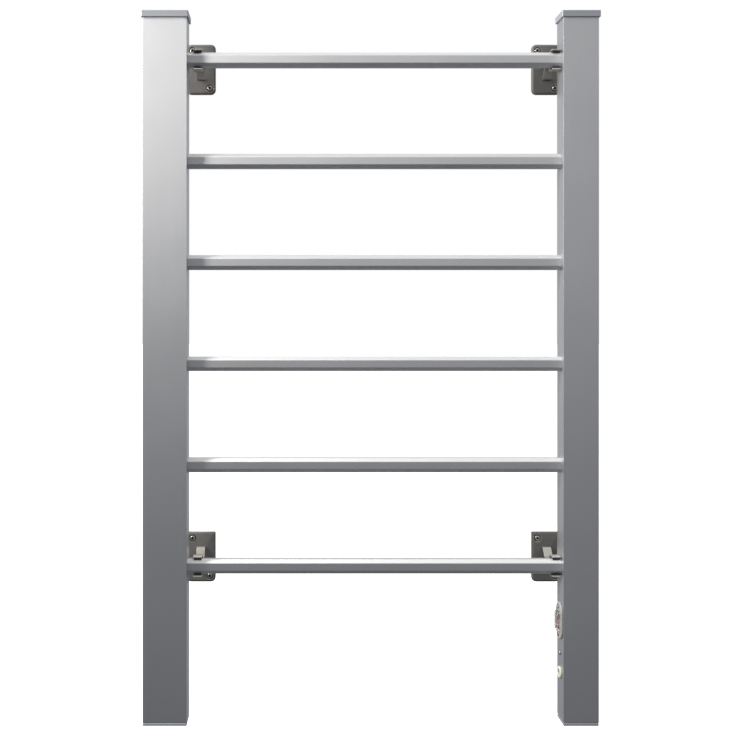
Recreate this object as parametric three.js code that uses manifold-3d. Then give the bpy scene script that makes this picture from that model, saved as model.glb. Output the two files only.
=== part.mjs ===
// A wall-hung electric towel warmer: six hollow rails between two flat posts, held off the wall by four
// clamp brackets, with a rocker switch and a cable gland on the inner face of the right post.
// Millimetres. X runs along the rails, Z is up and the front faces -Y. The wall is the plane Y = 0. The
// origin is midway across the rack and midway between the upper and the lower wall plates.
import * as THREE from "three";
import { mergeVertices } from "three/addons/utils/BufferGeometryUtils.js";
import Module from "manifold-3d";

const wasm = await Module();
wasm.setup();

// overall layout
const gap = 0.3; // left between pieces that touch
const rackHeight = 910;
const rackWidth = 580;
const railPitch = 130;
const railCount = 6;
const railDrop = 60; // from the top of the rack to the first rail
const wallDistance = 48; // from the wall to the middle of the posts and rails

// posts and caps
const postWidths = { left: 56, right: 45 };
const postDepth = 30;
const postWall = 1.6;
const postCorner = { outside: 1.4, inside: 0.6 };
const topCap = { height: 6.5, overhang: 2, corner: 2.4, spigot: 14 };
const bottomCap = { height: 4, overhang: 0, corner: 1.4, spigot: 12 };

// rails, their heating rods and the strips that carry their ends
const rail = { height: 19, depth: 15, chamferUp: 4.5, chamferIn: 4, wall: 1.2, corner: 2.2, entry: 10 };
const rod = { radius: 3.5, start: -228, end: 263, collar: 5.6, collarLength: 6 };
const carrier = { depth: 24, thickness: 3, overrun: 28 };

// brackets
const bracketX = { left: -221.3, right: 238.5 };
const plate = { width: 38.5, height: 67, thickness: 4, corner: 6.5, square: 1, bevel: 2.4, bevelDepth: 1.8 };
const wallScrew = { x: 11.5, z: 25, radius: 2.3, head: 3.7, headHeight: 2.4, socket: 1.5 };
const sink = { radius: 4.6, depth: 1.8 }; // counterbore for each wall screw
const clip = { width: 11.2, thickness: 1.8, bend: 2.4, tip: 6, neck: 2.7, neckStart: 15, neckEnd: 32, root: 13.7 };
const liner = { thickness: 1.8, wrap: 1.7 };
const clampScrew = { at: 23, radius: 2, head: 3.6, headHeight: 1.7 };

// switch, gland and wiring, all on the right post; heights are above the foot of the rack
const bezel = { height: 130, width: 25, length: 47, thickness: 2.2 };
const rocker = { width: 11, half: 8, rise: 3.3, edge: 4, pivotDepth: 1.5, restTilt: 9, pin: 1 };
const boot = { width: 18, length: 26, rise: 3.5, wall: 0.8, taper: 0.8 };
const switchBody = { width: 13.2, length: 20.6, depth: 14 };
const bezelScrew = { z: 17.6, radius: 1.4, head: 2.5 };
const gland = { height: 63, flange: 7.5, body: 5.2, bore: 4, length: 12 };
const terminal = { height: 88, width: 22, length: 28, depth: 14 };
const harnessX = 274;
const cutoutHeight = 232;

// levels worked out from the layout
const railSpan = (railCount - 1) * railPitch;
const topRailZ = railSpan / 2;
const topZ = topRailZ + railDrop;
const footZ = topZ - rackHeight;
const leftFaceX = -rackWidth / 2 + postWidths.left; // inner faces of the posts
const faceX = rackWidth / 2 - postWidths.right;
const posts = [
  { name: "left", side: -1, width: postWidths.left, faceX: leftFaceX, x: leftFaceX - postWidths.left / 2 },
  { name: "right", side: 1, width: postWidths.right, faceX, x: faceX + postWidths.right / 2 },
];
const railY = -wallDistance;
const postBottom = footZ + bottomCap.height + gap;
const postTop = topZ - topCap.height - gap;
const railLevels = Array.from({ length: railCount }, (_, i) => topRailZ - i * railPitch);

const X = new THREE.Vector3(1, 0, 0);
const Y = new THREE.Vector3(0, 1, 0);
const Z = new THREE.Vector3(0, 0, 1);
const alongX = new THREE.Matrix4().makeBasis(Y, Z, X); // outline in Y-Z, extruded towards +X
const toFront = new THREE.Matrix4().makeBasis(X, Z, Y.clone().negate()); // outline in X-Z, towards -Y
const offPost = new THREE.Matrix4().makeBasis(Y.clone().negate(), Z, X.clone().negate()); // towards -X

function finish(colour, roughness, metalness) {
  return new THREE.MeshStandardMaterial({ color: colour, roughness, metalness });
}

const finishes = {
  aluminium: finish(0xb9bbc0, 0.38, 0.9),
  capPlastic: finish(0xa4a6aa, 0.5, 0.1),
  plateMetal: finish(0x77767a, 0.5, 0.6),
  clipSteel: finish(0xb8b4ac, 0.4, 0.8),
  screwSteel: finish(0xc9c5b8, 0.3, 0.9),
  rubber: finish(0x17171a, 0.85, 0),
  greyPlastic: finish(0xc9c9c4, 0.5, 0),
  redPlastic: finish(0xa8202a, 0.35, 0),
  clearBoot: finish(0xb9bcb8, 0.25, 0),
  glandPlastic: finish(0xf0ece0, 0.45, 0),
  darkPlastic: finish(0x2b2b2e, 0.6, 0),
  elementSteel: finish(0x8d8a86, 0.45, 0.8),
  cableJacket: finish(0xd8d4cc, 0.7, 0),
};

// Booleans

function solidOf(geometry) {
  const bare = geometry.clone();
  bare.deleteAttribute("normal");
  bare.deleteAttribute("uv");
  const merged = mergeVertices(bare, 1e-4);
  const vertProperties = new Float32Array(merged.attributes.position.array);
  const triVerts = new Uint32Array(merged.index.array);
  return new wasm.Manifold(new wasm.Mesh({ numProp: 3, vertProperties, triVerts }));
}

function geometryOf(solid) {
  const made = solid.getMesh();
  const geometry = new THREE.BufferGeometry();
  geometry.setAttribute("position", new THREE.BufferAttribute(new Float32Array(made.vertProperties), 3));
  geometry.setIndex(new THREE.BufferAttribute(new Uint32Array(made.triVerts), 1));
  geometry.computeVertexNormals();
  return geometry;
}

function join(...geometries) {
  return geometryOf(geometries.map(solidOf).reduce((whole, piece) => whole.add(piece)));
}

function cut(geometry, ...tools) {
  return geometryOf(tools.map(solidOf).reduce((left, tool) => left.subtract(tool), solidOf(geometry)));
}

// Outlines and basic bodies

// The given corner points, rounded by one radius or by one for each corner.
function roundedOutline(points, radius, Kind = THREE.Shape) {
  const outline = new Kind();
  points.forEach((corner, i) => {
    const reach = Array.isArray(radius) ? radius[i] : radius;
    const before = points[(i + points.length - 1) % points.length];
    const after = points[(i + 1) % points.length];
    const arrive = corner.clone().add(before.clone().sub(corner).setLength(reach));
    const leave = corner.clone().add(after.clone().sub(corner).setLength(reach));
    if (i === 0) outline.moveTo(arrive.x, arrive.y);
    else outline.lineTo(arrive.x, arrive.y);
    outline.quadraticCurveTo(corner.x, corner.y, leave.x, leave.y);
  });
  return outline;
}

function rectangle(width, height) {
  const [x, y] = [width / 2, height / 2];
  return [[-x, -y], [x, -y], [x, y], [-x, y]].map((p) => new THREE.Vector2(...p));
}

function circle(radius, x = 0, y = 0, Kind = THREE.Shape) {
  return new Kind().absarc(x, y, radius, 0, 2 * Math.PI, false);
}

function prism(outline, length, steps = 3) {
  return new THREE.ExtrudeGeometry(outline, { depth: length, bevelEnabled: false, curveSegments: steps });
}

// A prism whose far end is scaled by the given shares of its width and height.
function taperedPrism(outline, length, shareX, shareY = shareX, steps = 3) {
  const geometry = prism(outline, length, steps);
  const place = geometry.attributes.position;
  for (let i = 0; i < place.count; i++) {
    if (place.getZ(i) > length / 2) place.setXY(i, place.getX(i) * shareX, place.getY(i) * shareY);
  }
  return geometry;
}

function bar(radius, length, sides = 10) {
  return new THREE.CylinderGeometry(radius, radius, length, sides);
}

// A strip of even thickness along a bent centreline.
function stripOutline(points, thickness, bend) {
  const line = [points[0]];
  for (let i = 1; i < points.length - 1; i++) {
    const [before, corner, after] = [points[i - 1], points[i], points[i + 1]];
    const room = 0.45 * Math.min(before.distanceTo(corner), after.distanceTo(corner));
    const reach = Math.min(bend, room);
    const arrive = corner.clone().add(before.clone().sub(corner).setLength(reach));
    const leave = corner.clone().add(after.clone().sub(corner).setLength(reach));
    line.push(...new THREE.QuadraticBezierCurve(arrive, corner, leave).getPoints(2));
  }
  line.push(points[points.length - 1]);
  const offset = (side) =>
    line.map((point, i) => {
      const back = line[Math.max(i - 1, 0)];
      const ahead = line[Math.min(i + 1, line.length - 1)];
      const along = ahead.clone().sub(back).normalize();
      return new THREE.Vector2(-along.y, along.x).multiplyScalar((side * thickness) / 2).add(point);
    });
  return new THREE.Shape([...offset(-1), ...offset(1).reverse()]);
}

// Rail section, in Y-Z about the rail's axis. A positive offset moves every side outwards.

function sectionCorners(offset) {
  const slope = Math.hypot(rail.chamferUp, rail.chamferIn);
  const flatY = rail.depth / 2 - rail.chamferIn + (offset * (slope - rail.chamferIn)) / rail.chamferUp;
  const flatZ = rail.height / 2 + offset;
  const sideY = rail.depth / 2 + offset;
  const sideZ = rail.height / 2 - rail.chamferUp + (offset * (slope - rail.chamferUp)) / rail.chamferIn;
  return { flat: new THREE.Vector2(flatY, flatZ), side: new THREE.Vector2(sideY, sideZ) };
}

function turned(point, signY, signZ) {
  return new THREE.Vector2(point.x * signY, point.y * signZ);
}

function sectionPoints(offset) {
  const { flat, side } = sectionCorners(offset);
  return [
    turned(side, 1, -1), turned(side, 1, 1), turned(flat, 1, 1), turned(flat, -1, 1),
    turned(side, -1, 1), turned(side, -1, -1), turned(flat, -1, -1), turned(flat, 1, -1),
  ];
}

function railOpening(level) {
  const outline = roundedOutline(sectionPoints(0.35), rail.corner);
  return prism(outline, 8, 2).applyMatrix4(alongX).translate(0, railY, level);
}

// Frame

function postGeometry(post) {
  const outline = roundedOutline(rectangle(post.width, postDepth), postCorner.outside);
  const inside = rectangle(post.width - 2 * postWall, postDepth - 2 * postWall);
  outline.holes.push(roundedOutline(inside, postCorner.inside, THREE.Path));
  const tube = prism(outline, postTop - postBottom).translate(post.x, railY, postBottom);
  return cut(tube, ...railLevels.map((level) => railOpening(level).translate(post.faceX - 4, 0, 0)));
}

function rightPostGeometry(post) {
  const through = (outline, z) => prism(outline, 8, 8).applyMatrix4(offPost).translate(faceX + 4, railY, z);
  const hole = (radius, z) => through(circle(radius), z);
  const body = roundedOutline(rectangle(switchBody.width + 0.8, switchBody.length + 0.8), 1);
  return cut(
    postGeometry(post),
    through(body, footZ + bezel.height),
    hole(bezelScrew.radius + gap, footZ + bezel.height + bezelScrew.z),
    hole(bezelScrew.radius + gap, footZ + bezel.height - bezelScrew.z),
    hole(bezelScrew.radius + gap, footZ + terminal.height),
    hole(gland.body + gap, footZ + gland.height),
  );
}

// A cap is a plate with a hollow spigot that plugs into the post; it is made with the spigot downwards.
function capGeometry(cap, postWidth) {
  const [width, depth] = [postWidth + 2 * cap.overhang, postDepth + 2 * cap.overhang];
  const edge = 1;
  const lower = prism(roundedOutline(rectangle(width, depth), cap.corner), cap.height - edge);
  const inner = roundedOutline(rectangle(width, depth), cap.corner);
  const upper = taperedPrism(inner, edge, 1 - (2 * edge) / width, 1 - (2 * edge) / depth)
    .translate(0, 0, cap.height - edge);
  const fit = 2 * (postWall + gap);
  const spigot = roundedOutline(rectangle(postWidth - fit, postDepth - fit), 0.8);
  spigot.holes.push(roundedOutline(rectangle(postWidth - fit - 5, postDepth - fit - 5), 0.6, THREE.Path));
  return join(lower, upper, prism(spigot, cap.spigot + 1, 1).translate(0, 0, -cap.spigot));
}

function railGeometry() {
  const outline = roundedOutline(sectionPoints(0), rail.corner);
  outline.holes.push(roundedOutline(sectionPoints(-rail.wall), rail.corner * 0.6, THREE.Path));
  const length = faceX - leftFaceX + 2 * rail.entry;
  return prism(outline, length, 2).applyMatrix4(alongX).translate(leftFaceX - rail.entry, 0, 0);
}

// A sheathed rod with three crimped collars that centre it in the rail, and a thin lead at its right end.
function rodGeometry() {
  const step = (rod.end - rod.start - 40) / 3;
  const profile = [[0, rod.start], [rod.radius, rod.start]];
  for (let i = 0; i < 3; i++) {
    const start = rod.start + 20 + i * step;
    const end = start + rod.collarLength;
    profile.push([rod.radius, start], [rod.collar, start], [rod.collar, end], [rod.radius, end]);
  }
  const neck = rod.end - 12;
  profile.push([rod.radius, neck], [1.8, neck], [1.8, rod.end], [0, rod.end]);
  const points = profile.map((p) => new THREE.Vector2(...p));
  return new THREE.LatheGeometry(points, 10).rotateZ(-Math.PI / 2);
}

function carrierGeometry() {
  const length = railSpan + 2 * carrier.overrun;
  const outline = roundedOutline(rectangle(carrier.depth, length), 2);
  for (const level of railLevels) {
    const points = sectionPoints(0.35).map((p) => p.add(new THREE.Vector2(0, level)));
    outline.holes.push(roundedOutline(points, rail.corner, THREE.Path));
  }
  return prism(outline, carrier.thickness, 2).applyMatrix4(alongX);
}

// Brackets, each made about the rail's axis at the bracket: y towards the wall, z up

// Tools for the two screw holes, one at the upper left and one at the lower right.
function screwHoles(radius, depth) {
  return [-1, 1].map((s) => prism(circle(radius, s * wallScrew.x, -s * wallScrew.z), depth, 8));
}

// The lower plates keep their upper corners square.
function plateGeometry(squareTop) {
  const { width, height, thickness, corner, square, bevel, bevelDepth } = plate;
  const upper = squareTop ? square : corner;
  const outline = roundedOutline(rectangle(width, height), [corner, corner, upper, upper]);
  const base = thickness - bevelDepth;
  const shares = [1 - (2 * bevel) / width, 1 - (2 * bevel) / height];
  const slab = join(prism(outline, base), taperedPrism(outline, bevelDepth, ...shares).translate(0, 0, base));
  const slot = roundedOutline(rectangle(clip.width + 2 * gap, clip.thickness + 2 * gap), 0.4);
  const slots = [-1, 1].map((s) => prism(slot, 12, 1).translate(0, s * clip.root, 0));
  const through = [...screwHoles(wallScrew.radius + gap, 12), ...slots];
  return cut(
    slab,
    ...through.map((tool) => tool.translate(0, 0, -4)),
    ...screwHoles(sink.radius, 6).map((tool) => tool.translate(0, 0, thickness - sink.depth)),
  )
    .applyMatrix4(toFront)
    .translate(0, wallDistance, 0);
}

// The strip runs from its tip over the rail, round the rail's back chamfer, along the neck and up to its
// root in the wall plate. The lower clip is the same strip the other way up.
function clipGeometry(side) {
  const away = sectionCorners(gap + liner.thickness + 0.4 + clip.thickness / 2);
  const route = [
    [-clip.tip, away.flat.y - 1.1], [2.4 - clip.tip, away.flat.y], [away.flat.x, away.flat.y],
    [away.side.x, away.side.y], [clip.neckStart, clip.neck], [clip.neckEnd, clip.neck],
    [wallDistance - plate.thickness - 2.5, clip.root], [wallDistance - gap, clip.root],
  ].map((p) => new THREE.Vector2(p[0], side * p[1]));
  const strip = prism(stripOutline(route, clip.thickness, clip.bend), clip.width)
    .applyMatrix4(alongX)
    .translate(-clip.width / 2, 0, 0);
  const hole = bar(clampScrew.radius + gap, 20, 10).rotateX(Math.PI / 2).translate(0, clampScrew.at, 0);
  return cut(strip, hole);
}

function linerGeometry() {
  const { flat, side } = sectionCorners(gap + liner.thickness / 2);
  const down = side.clone().sub(flat).setLength(liner.wrap).add(flat);
  const route = [
    turned(down, -1, 1), turned(flat, -1, 1), flat, side,
    turned(side, 1, -1), turned(flat, 1, -1), turned(flat, -1, -1), turned(down, -1, -1),
  ];
  return prism(stripOutline(route, liner.thickness, 1.4), clip.width)
    .applyMatrix4(alongX)
    .translate(-clip.width / 2, 0, 0);
}

// A round head with a hexagon socket, on a shank; the head's seat is at z = 0 and the shank points down.
function screwGeometry(radius, head, headHeight, shank, socket, sides = 12) {
  const profile = [
    [0, -shank], [radius, -shank], [radius, 0], [head, 0], [head, headHeight * 0.55],
    [head * 0.78, headHeight], [0, headHeight],
  ].map((p) => new THREE.Vector2(...p));
  const blank = new THREE.LatheGeometry(profile, sides).rotateX(Math.PI / 2);
  const key = bar(socket, headHeight, 6).rotateX(Math.PI / 2).translate(0, 0, headHeight);
  return cut(blank, key);
}

function wallScrewGeometry() {
  const { radius, head, headHeight, socket } = wallScrew;
  const seat = plate.thickness - sink.depth;
  return screwGeometry(radius, head, headHeight, seat - gap, socket)
    .applyMatrix4(toFront)
    .translate(0, wallDistance - seat - gap, 0);
}

function clampScrewGeometry() {
  const seat = clip.neck + clip.thickness / 2 + gap;
  return screwGeometry(clampScrew.radius, clampScrew.head, clampScrew.headHeight, 2 * seat + 2, 1.5, 10)
    .translate(0, clampScrew.at, seat);
}

// Switch, gland and wiring. Each is made facing out of the post's inner face, with that face at z = 0.

function bezelGeometry() {
  const { width, length, thickness } = bezel;
  const straight = length / 2 - width / 2;
  const stadium = new THREE.Shape();
  stadium.absarc(0, straight, width / 2, 0, Math.PI, false);
  stadium.absarc(0, -straight, width / 2, Math.PI, 2 * Math.PI, false);
  const edge = 0.7;
  const flange = prism(stadium, thickness - edge, 8);
  const shares = [1 - (2 * edge) / width, 1 - (2 * edge) / length];
  const top = taperedPrism(stadium, edge, ...shares, 8).translate(0, 0, thickness - edge);
  const opening = prism(roundedOutline(rectangle(rocker.width + 1.4, 2 * rocker.half + 3.4), 1), 12);
  const holes = [-1, 1].map((s) => prism(circle(bezelScrew.radius + gap, 0, s * bezelScrew.z), 12, 5));
  return cut(join(flange, top), ...[opening, ...holes].map((tool) => tool.translate(0, 0, -4)))
    .translate(0, 0, gap);
}

function bootGeometry() {
  const { width, length, rise, wall, taper } = boot;
  const outer = taperedPrism(roundedOutline(rectangle(width, length), 3), rise, taper);
  const room = roundedOutline(rectangle(width - 2 * wall, length - 2 * wall), 2.4);
  const inner = taperedPrism(room, rise - wall, taper * 0.98);
  const mouth = prism(room, 2).translate(0, 0, -1.99);
  return cut(outer, inner, mouth).translate(0, 0, bezel.thickness + 2 * gap);
}

// The rocker about its pivot: a shallow V on top, rounded ends and two pins.
function rockerGeometry() {
  const { half, rise, edge, pivotDepth, width, pin } = rocker;
  const profile = [
    [half, edge + pivotDepth], [0, rise + pivotDepth], [-half, edge + pivotDepth],
    [-half + 0.7, 0.6], [-2.4, -2.2], [2.4, -2.2], [half - 0.7, 0.6],
  ].map((p) => new THREE.Vector2(...p));
  const block = prism(roundedOutline(profile, 0.6), width, 2).translate(0, 0, -width / 2);
  const pins = bar(pin, width + 1.6, 12).rotateX(Math.PI / 2);
  return join(block, pins).applyMatrix4(new THREE.Matrix4().makeBasis(Y, Z, X));
}

function switchBodyGeometry() {
  const { width, length, depth } = switchBody;
  const shell = prism(roundedOutline(rectangle(width, length), 0.8), depth, 1).translate(0, 0, -depth);
  const room = prism(roundedOutline(rectangle(rocker.width + 0.8, length - 2), 0.4), 7, 1);
  const bearing = bar(rocker.pin + 0.15, width + 4, 12).rotateZ(Math.PI / 2);
  const tab = (y) => new THREE.BoxGeometry(6, 0.8, 5).translate(0, y, -depth - 2);
  return cut(
    join(shell, tab(-5), tab(5)),
    room.translate(0, 0, -6),
    bearing.translate(0, 0, -rocker.pivotDepth),
  );
}

function glandGeometry() {
  const { flange, body, bore, length } = gland;
  const profile = [
    [bore, -length], [body, -length], [body, gap], [flange, gap], [flange, 1.6], [flange - 0.9, 2.6],
    [bore + 0.8, 2.6], [bore, 1.9], [bore, -length],
  ].map((p) => new THREE.Vector2(...p));
  return new THREE.LatheGeometry(profile, 20).rotateX(Math.PI / 2);
}

function glandNutGeometry() {
  const ring = new THREE.Shape();
  for (let i = 0; i < 6; i++) {
    const angle = (i * Math.PI) / 3;
    ring[i ? "lineTo" : "moveTo"](8.4 * Math.cos(angle), 8.4 * Math.sin(angle));
  }
  ring.holes.push(circle(gland.body + gap, 0, 0, THREE.Path));
  return prism(ring, 4, 8).translate(0, 0, -postWall - gap - 4);
}

function terminalGeometry() {
  const { width, length, depth } = terminal;
  const block = prism(roundedOutline(rectangle(width, length), 1.5), depth, 2);
  const well = (y, z) => bar(1.8, 6, 8).rotateX(Math.PI / 2).translate(y, z, 0);
  const wells = [-9, 9].flatMap((z) => [-6, 6].map((y) => well(y, z)));
  const fixing = bar(bezelScrew.radius + gap, 18, 10).rotateX(Math.PI / 2).translate(0, 0, depth);
  return cut(block, ...wells, fixing).translate(0, 0, -postWall - gap - depth);
}

function cutoutGeometry() {
  const profile = [[0, -10], [5, -10], [5, -6], [8, -6], [8, 0], [0, 0]].map((p) => new THREE.Vector2(...p));
  const disc = new THREE.LatheGeometry(profile, 14).rotateX(Math.PI / 2);
  const tab = (y) => new THREE.BoxGeometry(0.8, 4, 5).translate(y, 0, -12);
  return join(disc, tab(-3), tab(3));
}

// A trunk up the right post, with one branch to each rod, the switch, the cut-out and the terminal block.
function harnessGeometry() {
  const low = footZ + terminal.height;
  const trunk = bar(3.4, topRailZ - low + 5, 8).rotateX(Math.PI / 2);
  const branch = (from, z) => {
    const length = harnessX - from;
    return bar(2.2, length, 8).rotateZ(Math.PI / 2).translate(from + length / 2, railY, z);
  };
  return join(
    trunk.translate(harnessX, railY, (topRailZ + low) / 2),
    ...railLevels.map((level) => branch(rod.end + gap, level)),
    branch(faceX + switchBody.depth + 5, footZ + bezel.height),
    branch(faceX + postWall + carrier.thickness + 16, footZ + cutoutHeight),
    branch(faceX + postWall + terminal.depth + 2 * gap, low),
  );
}

// Assembly

const rack = new THREE.Group();

function add(parent, name, geometry, material, x = 0, y = 0, z = 0) {
  const mesh = new THREE.Mesh(geometry, material);
  mesh.name = name;
  mesh.position.set(x, y, z);
  parent.add(mesh);
  return mesh;
}

function addFrame() {
  add(rack, "post_left", postGeometry(posts[0]), finishes.aluminium);
  add(rack, "post_right", rightPostGeometry(posts[1]), finishes.aluminium);
  for (const post of posts) {
    const top = capGeometry(topCap, post.width);
    add(rack, `top_cap_${post.name}`, top, finishes.capPlastic, post.x, railY, topZ - topCap.height);
    const foot = capGeometry(bottomCap, post.width).rotateX(Math.PI);
    add(rack, `bottom_cap_${post.name}`, foot, finishes.capPlastic, post.x, railY, footZ + bottomCap.height);
    const middle = post.faceX + post.side * (postWall + gap + carrier.thickness / 2);
    const strip = carrierGeometry().translate(middle - carrier.thickness / 2, 0, 0);
    add(rack, `rail_carrier_${post.name}`, strip, finishes.elementSteel, 0, railY, 0);
  }
  railLevels.forEach((level, i) => {
    add(rack, `rail_${i + 1}`, railGeometry(), finishes.aluminium, 0, railY, level);
    add(rack, `heating_rod_${i + 1}`, rodGeometry(), finishes.elementSteel, 0, railY, level);
  });
}

function addBracket(name, x, z, squareTop) {
  const bracket = new THREE.Group();
  bracket.position.set(x, railY, z);
  rack.add(bracket);
  add(bracket, `wall_plate_${name}`, plateGeometry(squareTop), finishes.plateMetal);
  add(bracket, `clip_upper_${name}`, clipGeometry(1), finishes.clipSteel);
  add(bracket, `clip_lower_${name}`, clipGeometry(-1), finishes.clipSteel);
  add(bracket, `rubber_liner_${name}`, linerGeometry(), finishes.rubber);
  add(bracket, `clamp_screw_${name}`, clampScrewGeometry(), finishes.screwSteel);
  const { x: dx, z: dz } = wallScrew;
  add(bracket, `wall_screw_${name}_1`, wallScrewGeometry(), finishes.screwSteel, -dx, 0, dz);
  add(bracket, `wall_screw_${name}_2`, wallScrewGeometry(), finishes.screwSteel, dx, 0, -dz);
}

// A group on the inner face of the right post, at the given height above the foot.
function onPost(height) {
  const place = new THREE.Group();
  place.applyMatrix4(offPost);
  place.position.set(faceX, railY, footZ + height);
  rack.add(place);
  return place;
}

function addElectrics() {
  const panel = onPost(bezel.height);
  add(panel, "switch_bezel", bezelGeometry(), finishes.greyPlastic);
  add(panel, "switch_body", switchBodyGeometry(), finishes.darkPlastic);
  add(panel, "switch_boot", bootGeometry(), finishes.clearBoot);
  const button = add(panel, "switch_rocker", rockerGeometry(), finishes.redPlastic);
  button.position.z = -rocker.pivotDepth;
  button.rotation.x = THREE.MathUtils.degToRad(rocker.restTilt);
  const screw = () => screwGeometry(bezelScrew.radius, bezelScrew.head, 1.4, 9, 1, 10);
  const seat = bezel.thickness + 2 * gap;
  add(panel, "bezel_screw_1", screw(), finishes.screwSteel, 0, bezelScrew.z, seat);
  add(panel, "bezel_screw_2", screw(), finishes.screwSteel, 0, -bezelScrew.z, seat);

  const outlet = onPost(gland.height);
  add(outlet, "cable_gland", glandGeometry(), finishes.glandPlastic);
  add(outlet, "gland_nut", glandNutGeometry(), finishes.glandPlastic);

  const supply = onPost(terminal.height);
  add(supply, "terminal_block", terminalGeometry(), finishes.greyPlastic);
  add(supply, "terminal_screw", screw(), finishes.screwSteel, 0, 0, gap);

  const limiter = onPost(cutoutHeight);
  const depth = postWall + carrier.thickness + 2 * gap;
  add(limiter, "thermal_cutout", cutoutGeometry(), finishes.darkPlastic, 0, 0, -depth);
  add(rack, "wiring_harness", harnessGeometry(), finishes.cableJacket);
}

addFrame();
for (const [side, x] of Object.entries(bracketX)) {
  addBracket(`top_${side}`, x, topRailZ, false);
  addBracket(`bottom_${side}`, x, topRailZ - railSpan, true);
}
addElectrics();

export default rack;
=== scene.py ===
import math

import bpy
from mathutils import Matrix, Vector


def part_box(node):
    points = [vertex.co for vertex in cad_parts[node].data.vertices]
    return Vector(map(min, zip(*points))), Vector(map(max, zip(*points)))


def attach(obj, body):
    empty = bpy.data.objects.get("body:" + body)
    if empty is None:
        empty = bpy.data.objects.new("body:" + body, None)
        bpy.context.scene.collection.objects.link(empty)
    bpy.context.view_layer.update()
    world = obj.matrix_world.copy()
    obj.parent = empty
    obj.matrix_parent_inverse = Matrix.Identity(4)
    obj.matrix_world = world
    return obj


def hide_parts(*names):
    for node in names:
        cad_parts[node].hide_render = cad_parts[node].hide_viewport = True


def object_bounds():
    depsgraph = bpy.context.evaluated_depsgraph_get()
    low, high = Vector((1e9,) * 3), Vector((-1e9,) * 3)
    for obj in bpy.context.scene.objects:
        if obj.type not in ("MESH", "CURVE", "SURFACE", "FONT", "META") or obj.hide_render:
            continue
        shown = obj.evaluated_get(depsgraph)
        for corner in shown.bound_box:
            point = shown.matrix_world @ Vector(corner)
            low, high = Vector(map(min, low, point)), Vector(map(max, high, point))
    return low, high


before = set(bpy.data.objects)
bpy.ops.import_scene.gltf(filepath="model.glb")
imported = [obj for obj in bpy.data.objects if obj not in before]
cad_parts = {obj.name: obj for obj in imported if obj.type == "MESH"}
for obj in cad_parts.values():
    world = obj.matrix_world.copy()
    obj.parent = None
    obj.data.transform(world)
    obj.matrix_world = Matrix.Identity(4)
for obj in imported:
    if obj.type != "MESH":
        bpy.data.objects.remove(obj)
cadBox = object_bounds()
mm = 0.001
gap = 0.3  # left between neighbouring pieces, in millimetres like every size below
print("frame loaded with", len(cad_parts), "nodes")

# The camera stands square to the rack, a little left of its middle and above it. Distances are in metres.
cameraView = {
    "lens": 45.03, "sensor": 36, "distance": 1.2, "left": 0.098, "up": 0.0676, "shift": (0.111, -0.0828),
}


def middleOf(low, high):
    return (Vector(low) + Vector(high)) / 2


def setCamera():
    low, high = cadBox
    middle = middleOf(low, high)
    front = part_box("post_left")[0].y
    camera = bpy.data.objects.new("camera", bpy.data.cameras.new("camera"))
    bpy.context.scene.collection.objects.link(camera)
    camera.location = (
        middle.x - cameraView["left"],
        front - cameraView["distance"],
        middle.z + cameraView["up"],
    )
    camera.rotation_euler = (math.pi / 2, 0, 0)
    camera.data.lens = cameraView["lens"]
    camera.data.sensor_width = cameraView["sensor"]
    camera.data.shift_x, camera.data.shift_y = cameraView["shift"]
    bpy.context.scene.camera = camera


setCamera()


# Places. Every piece is drawn in millimetres on its own axes: x right, y up, z out of the face it sits on.
def placeAt(origin, right, up):
    right, up = Vector(right), Vector(up)
    out = right.cross(up)
    turn = Matrix((right, up, out)).transposed().to_4x4()
    return Matrix.Translation(Vector(origin)) @ turn @ Matrix.Scale(mm, 4)


def upright(origin):  # seen from above, drawn upwards
    return placeAt(origin, (1, 0, 0), (0, 1, 0))


def facingFront(origin):
    return placeAt(origin, (1, 0, 0), (0, 0, 1))


def acrossRack(origin):  # section in Y-Z, drawn along X
    return placeAt(origin, (0, 1, 0), (0, 0, 1))


def offPost(origin):  # on the inner face of the right post
    return placeAt(origin, (0, -1, 0), (0, 0, 1))


# Outlines
leastCorner = 0.4  # the smallest rounding left on an outline that has been drawn in


def rectangle(width, height):
    x, y = width / 2, height / 2
    return [(-x, -y), (x, -y), (x, y), (-x, y)]


def roundedLoop(corners, radius, steps=6):
    # each corner becomes an arc; radius is one number or one for each corner
    loop = []
    for i, point in enumerate(corners):
        corner = Vector(point)
        back = (Vector(corners[i - 1]) - corner).normalized()
        ahead = (Vector(corners[(i + 1) % len(corners)]) - corner).normalized()
        size = radius[i] if isinstance(radius, (list, tuple)) else radius
        half = back.angle(ahead) / 2
        centre = corner + (back + ahead).normalized() * size / math.sin(half)
        start = corner + back * size / math.tan(half) - centre
        turn = math.pi - 2 * half
        if back.x * ahead.y - back.y * ahead.x > 0:
            turn = -turn
        for k in range(steps + 1):
            angle = turn * k / steps
            c, s = math.cos(angle), math.sin(angle)
            loop.append((centre.x + c * start.x - s * start.y, centre.y + s * start.x + c * start.y))
    return loop


def circleLoop(radius, count=32):
    angles = [2 * math.pi * k / count for k in range(count)]
    return [(radius * math.cos(a), radius * math.sin(a)) for a in angles]


def atHeight(loop, z):
    return [(x, y, z) for x, y in loop]


def roundOver(radius, steps, first=0):
    # how far a rounded edge has come inwards and upwards at each step
    turns = [math.pi / 2 * k / steps for k in range(first, steps + 1)]
    return [(radius * (1 - math.cos(a)), radius * math.sin(a)) for a in turns]


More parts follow.
